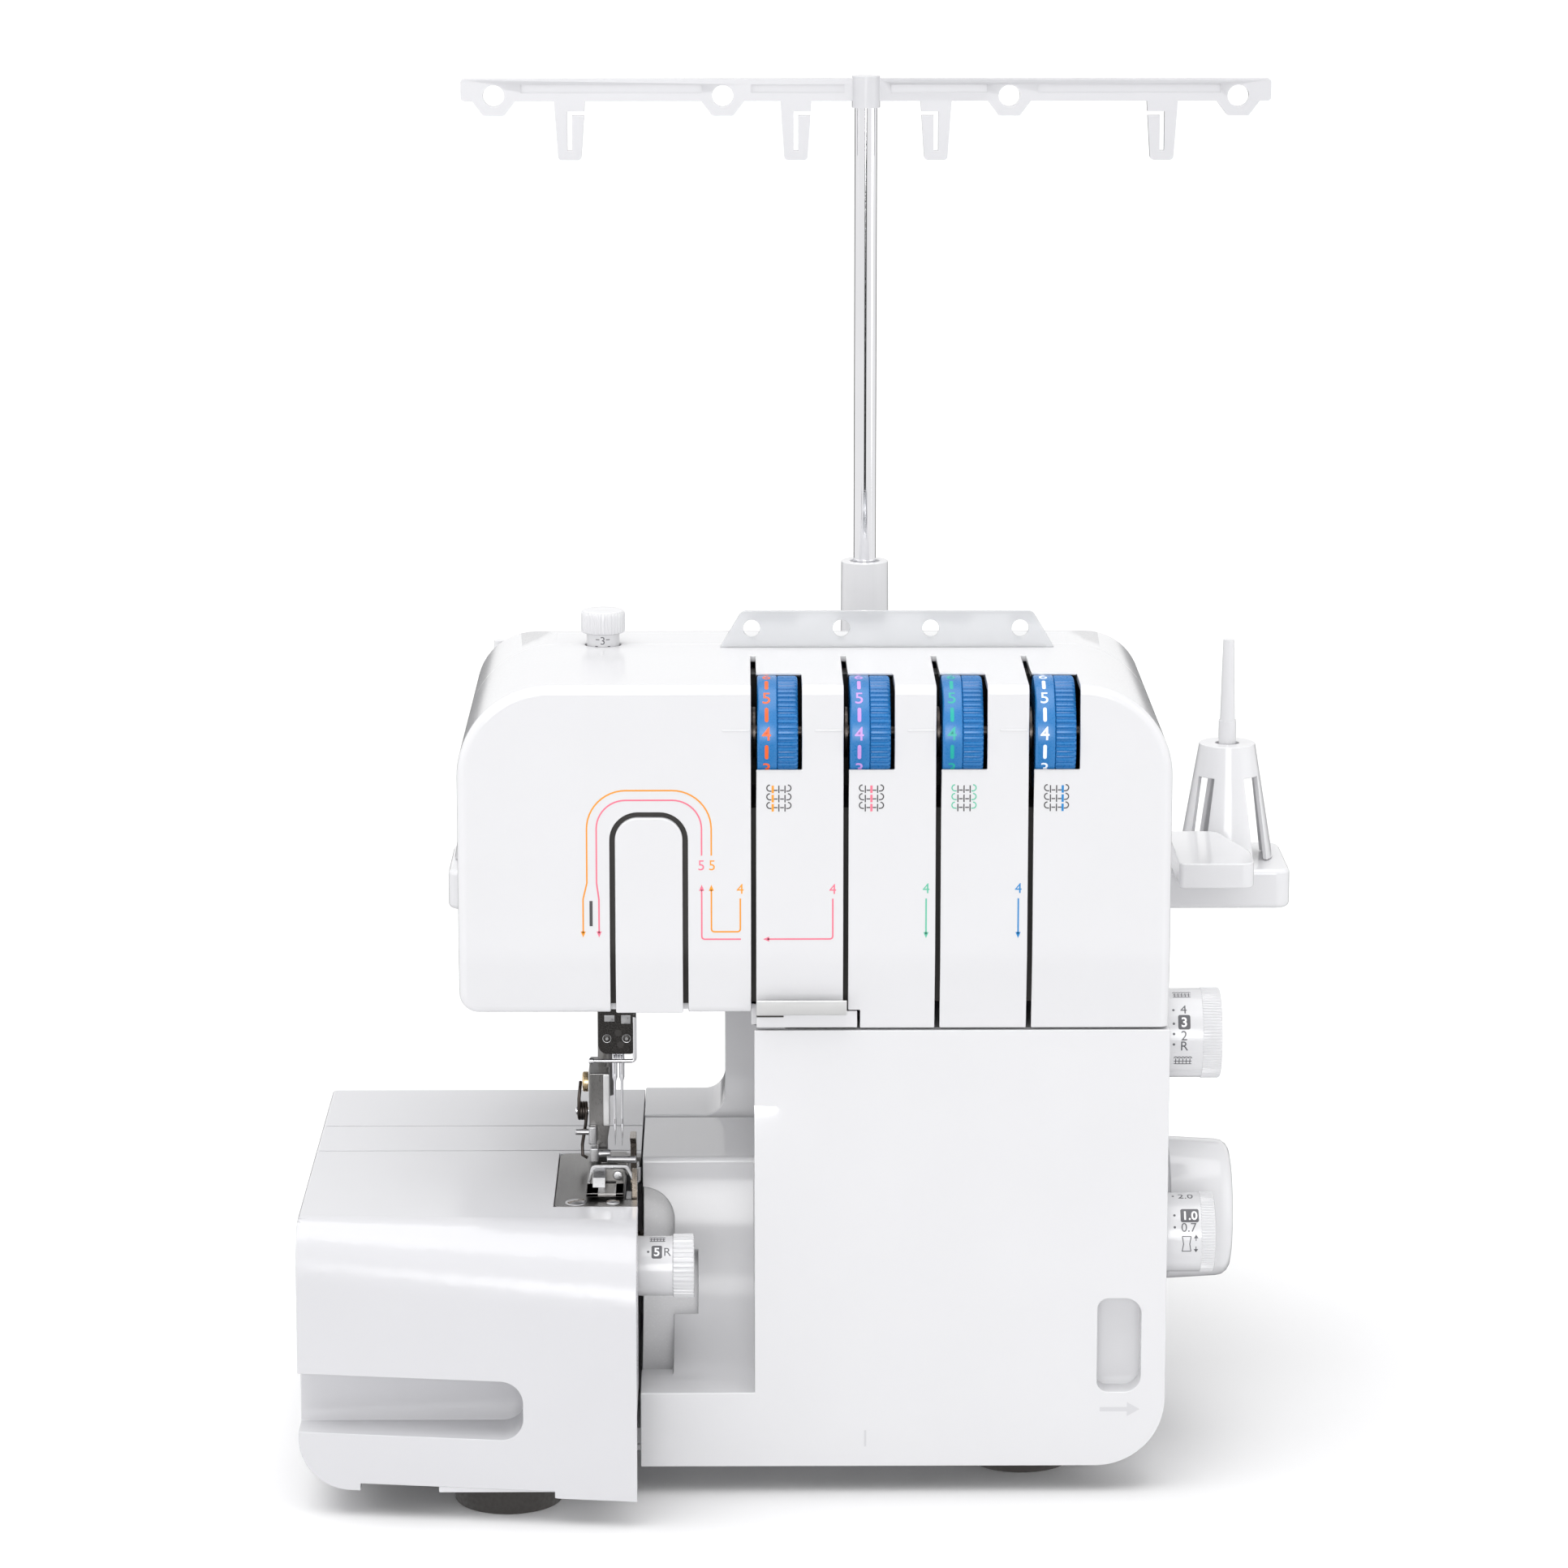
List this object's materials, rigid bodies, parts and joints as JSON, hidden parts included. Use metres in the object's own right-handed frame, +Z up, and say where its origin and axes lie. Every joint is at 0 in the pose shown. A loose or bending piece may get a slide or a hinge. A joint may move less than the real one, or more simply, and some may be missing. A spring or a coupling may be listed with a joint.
{
  "type": "serger overlock sewing machine",
  "caption": "Home overlock machine: head on a column, needles, loopers and knives over a bed, hinged front cover, tension dials, spool stand and thread antenna.",
  "frame": {"origin": "on the table under the middle of the machine's bounding box", "axes": "+X to the handwheel side, +Y to the back, +Z up"},
  "size_m": [0.372, 0.282, 0.493],
  "materials": {
    "white_plastic": "glossy moulded",
    "inner_plastic": "matt moulded",
    "black_plastic": "matt moulded",
    "black_metal": "black oxide",
    "blue_plastic": "moulded, ribbed grip",
    "clear_plastic": "glossy milky sheet",
    "steel": "brushed",
    "polished_steel": "polished",
    "spring_steel": "dark spring wire",
    "aluminium": "die cast",
    "rubber": "moulded",
    "brass": "sintered bush",
    "lamp": "frosted lens"
  },
  "bodies": {
    "machine": {"head_front_casing": "white_plastic", "take_up_cover": "white_plastic", "take_up_liner": "black_plastic", "rear_casing": "white_plastic", "bottom_pan": "inner_plastic", "rubber_feet": "rubber", "base_frame": "aluminium", "arm_casting": "aluminium", "looper_liner": "inner_plastic", "free_arm": "aluminium", "needle_plate": "steel", "plate_screws": "polished_steel", "presser_spring": "spring_steel", "looper_bearings": "aluminium", "lower_knife": "steel", "tension_frame": "black_plastic", "tension_units": "polished_steel", "upper_thread_guide": "clear_plastic", "thread_clip": "steel", "shaft_bushes": "brass", "motor": "black_metal", "drive_belt": "rubber", "power_inlet": "black_plastic", "work_lamp": "lamp", "spool_tray": "white_plastic", "spool_pins": "white_plastic", "antenna_socket": "white_plastic"},
    "hinge_rod": {"cover_hinge_rod": "steel"},
    "front_cover": {"front_cover": "white_plastic"},
    "plate_cover": {"material_plate_cover": "white_plastic"},
    "needle_bar": {"needle_bar": "polished_steel", "needle_clamp": "black_metal", "needles": "polished_steel", "thread_wire": "polished_steel"},
    "presser": {"presser_bar": "steel", "presser_foot": "steel", "foot_spring": "spring_steel"},
    "presser_lever": {"presser_lever": "inner_plastic"},
    "upper_looper": {"upper_looper": "polished_steel"},
    "lower_looper": {"lower_looper": "polished_steel"},
    "feed_dogs": {"feed_dogs": "steel"},
    "upper_knife": {"upper_knife": "steel"},
    "pressure_dial": {"pressure_dial": "white_plastic"},
    "main_shaft": {"main_shaft": "steel", "handwheel": "white_plastic"},
    "motor_spindle": {"motor_spindle": "steel"},
    "stitch_length_dial": {"stitch_length_dial": "white_plastic"},
    "differential_dial": {"differential_dial": "white_plastic"},
    "stitch_width_dial": {"stitch_width_dial": "white_plastic"},
    "power_switch": {"power_switch": "black_plastic"},
    "antenna": {"antenna_upper_tube": "polished_steel"},
    "guide_bar": {"thread_guide_bar": "white_plastic"},
    "tension_dial_1": {"tension_dial_1": "blue_plastic"},
    "spool_cone_1": {"spool_cone_1": "white_plastic"},
    "tension_dial_2": {"tension_dial_2": "blue_plastic"},
    "spool_cone_2": {"spool_cone_2": "white_plastic"},
    "tension_dial_3": {"tension_dial_3": "blue_plastic"},
    "spool_cone_3": {"spool_cone_3": "white_plastic"},
    "tension_dial_4": {"tension_dial_4": "blue_plastic"},
    "spool_cone_4": {"spool_cone_4": "white_plastic"}
  },
  "joints": [
    {"name": "cover_shift", "type": "slide", "parent": "machine", "child": "hinge_rod", "axis": [1, 0, 0], "range_m": [0, 0.003]},
    {"name": "cover_hinge", "type": "hinge", "parent": "hinge_rod", "child": "front_cover", "pos_m": [0, -0.096, 0.016], "axis": [1, 0, 0], "range_deg": [0, 75]},
    {"name": "plate_cover_slide", "type": "slide", "parent": "machine", "child": "plate_cover", "axis": [-1, 0, 0], "range_m": [0, 0.12]},
    {"name": "needle_stroke", "type": "slide", "parent": "machine", "child": "needle_bar", "axis": [0, 0, 1], "range_m": [-0.022, 0.001]},
    {"name": "upper_looper_swing", "type": "hinge", "parent": "machine", "child": "upper_looper", "pos_m": [-0.07, -0.025, 0.072], "axis": [1, 0, 0], "range_deg": [-1, 17]},
    {"name": "lower_looper_swing", "type": "hinge", "parent": "machine", "child": "lower_looper", "pos_m": [-0.088, 0, 0.062], "axis": [0, 1, 0], "range_deg": [-13, 1]},
    {"name": "feed_dog_lift", "type": "slide", "parent": "machine", "child": "feed_dogs", "axis": [0, 0, 1], "range_m": [-0.0001, 0.0009]},
    {"name": "knife_stroke", "type": "slide", "parent": "machine", "child": "upper_knife", "axis": [0, 0, 1], "range_m": [-0.0042, 0.0003]},
    {"name": "presser_lift", "type": "slide", "parent": "machine", "child": "presser", "axis": [0, 0, 1], "range_m": [0, 0.006], "stiffness_N_per_m": 700, "springref_m": -0.012},
    {"name": "presser_lever_turn", "type": "hinge", "parent": "machine", "child": "presser_lever", "pos_m": [-0.0782, 0, 0.205], "axis": [0, 1, 0], "range_deg": [0, 70]},
    {"name": "main_shaft_turn", "type": "hinge", "parent": "machine", "child": "main_shaft", "pos_m": [0, -0.03, 0.086], "axis": [1, 0, 0], "continuous": true},
    {"name": "motor_turn", "type": "hinge", "parent": "machine", "child": "motor_spindle", "pos_m": [0, 0.02, 0.052], "axis": [1, 0, 0], "continuous": true},
    {"name": "stitch_length_turn", "type": "hinge", "parent": "machine", "child": "stitch_length_dial", "pos_m": [0, -0.06, 0.1604], "axis": [1, 0, 0], "range_deg": [-50, 30]},
    {"name": "differential_turn", "type": "hinge", "parent": "machine", "child": "differential_dial", "pos_m": [0, -0.075, 0.0896], "axis": [1, 0, 0], "range_deg": [-25, 95]},
    {"name": "stitch_width_turn", "type": "hinge", "parent": "machine", "child": "stitch_width_dial", "pos_m": [0, -0.088, 0.0812], "axis": [1, 0, 0], "range_deg": [-90, 60]},
    {"name": "pressure_turn", "type": "hinge", "parent": "machine", "child": "pressure_dial", "pos_m": [-0.0782, -0.0234, 0.3], "axis": [0, 0, 1], "range_deg": [-150, 150]},
    {"name": "tension_turn_1", "type": "hinge", "parent": "machine", "child": "tension_dial_1", "pos_m": [-0.0237, -0.089, 0.2776], "axis": [1, 0, 0], "range_deg": [-150, 165]},
    {"name": "tension_turn_2", "type": "hinge", "parent": "machine", "child": "tension_dial_2", "pos_m": [0.0088, -0.089, 0.2776], "axis": [1, 0, 0], "range_deg": [-150, 165]},
    {"name": "tension_turn_3", "type": "hinge", "parent": "machine", "child": "tension_dial_3", "pos_m": [0.0413, -0.089, 0.2776], "axis": [1, 0, 0], "range_deg": [-150, 165]},
    {"name": "tension_turn_4", "type": "hinge", "parent": "machine", "child": "tension_dial_4", "pos_m": [0.0738, -0.089, 0.2776], "axis": [1, 0, 0], "range_deg": [-150, 165]},
    {"name": "switch_rock", "type": "hinge", "parent": "machine", "child": "power_switch", "pos_m": [0.119, 0.0475, 0.07], "axis": [0, -1, 0], "range_deg": [0, 12]},
    {"name": "antenna_telescope", "type": "slide", "parent": "machine", "child": "antenna", "axis": [0, 0, 1], "range_m": [-0.1, 0]},
    {"name": "guide_bar_swivel", "type": "hinge", "parent": "antenna", "child": "guide_bar", "pos_m": [0.0203, 0.115, 0.485], "axis": [0, 0, 1], "range_deg": [-90, 90]},
    {"name": "cone_lift_1", "type": "slide", "parent": "machine", "child": "spool_cone_1", "axis": [0, 0, 1], "range_m": [0, 0.09]},
    {"name": "cone_lift_2", "type": "slide", "parent": "machine", "child": "spool_cone_2", "axis": [0, 0, 1], "range_m": [0, 0.09]},
    {"name": "cone_lift_3", "type": "slide", "parent": "machine", "child": "spool_cone_3", "axis": [0, 0, 1], "range_m": [0, 0.09]},
    {"name": "cone_lift_4", "type": "slide", "parent": "machine", "child": "spool_cone_4", "axis": [0, 0, 1], "range_m": [0, 0.09]}
  ],
  "couplings": [
    {"joint": "upper_looper_swing", "follows": "needle_stroke", "rad_per_m": -12.7},
    {"joint": "lower_looper_swing", "follows": "needle_stroke", "rad_per_m": 9.52},
    {"joint": "feed_dog_lift", "follows": "needle_stroke", "ratio": -0.04},
    {"joint": "knife_stroke", "follows": "needle_stroke", "ratio": 0.18},
    {"joint": "presser_lever_turn", "follows": "presser_lift", "rad_per_m": 200},
    {"joint": "motor_turn", "follows": "main_shaft_turn", "ratio": 3}
  ]
}
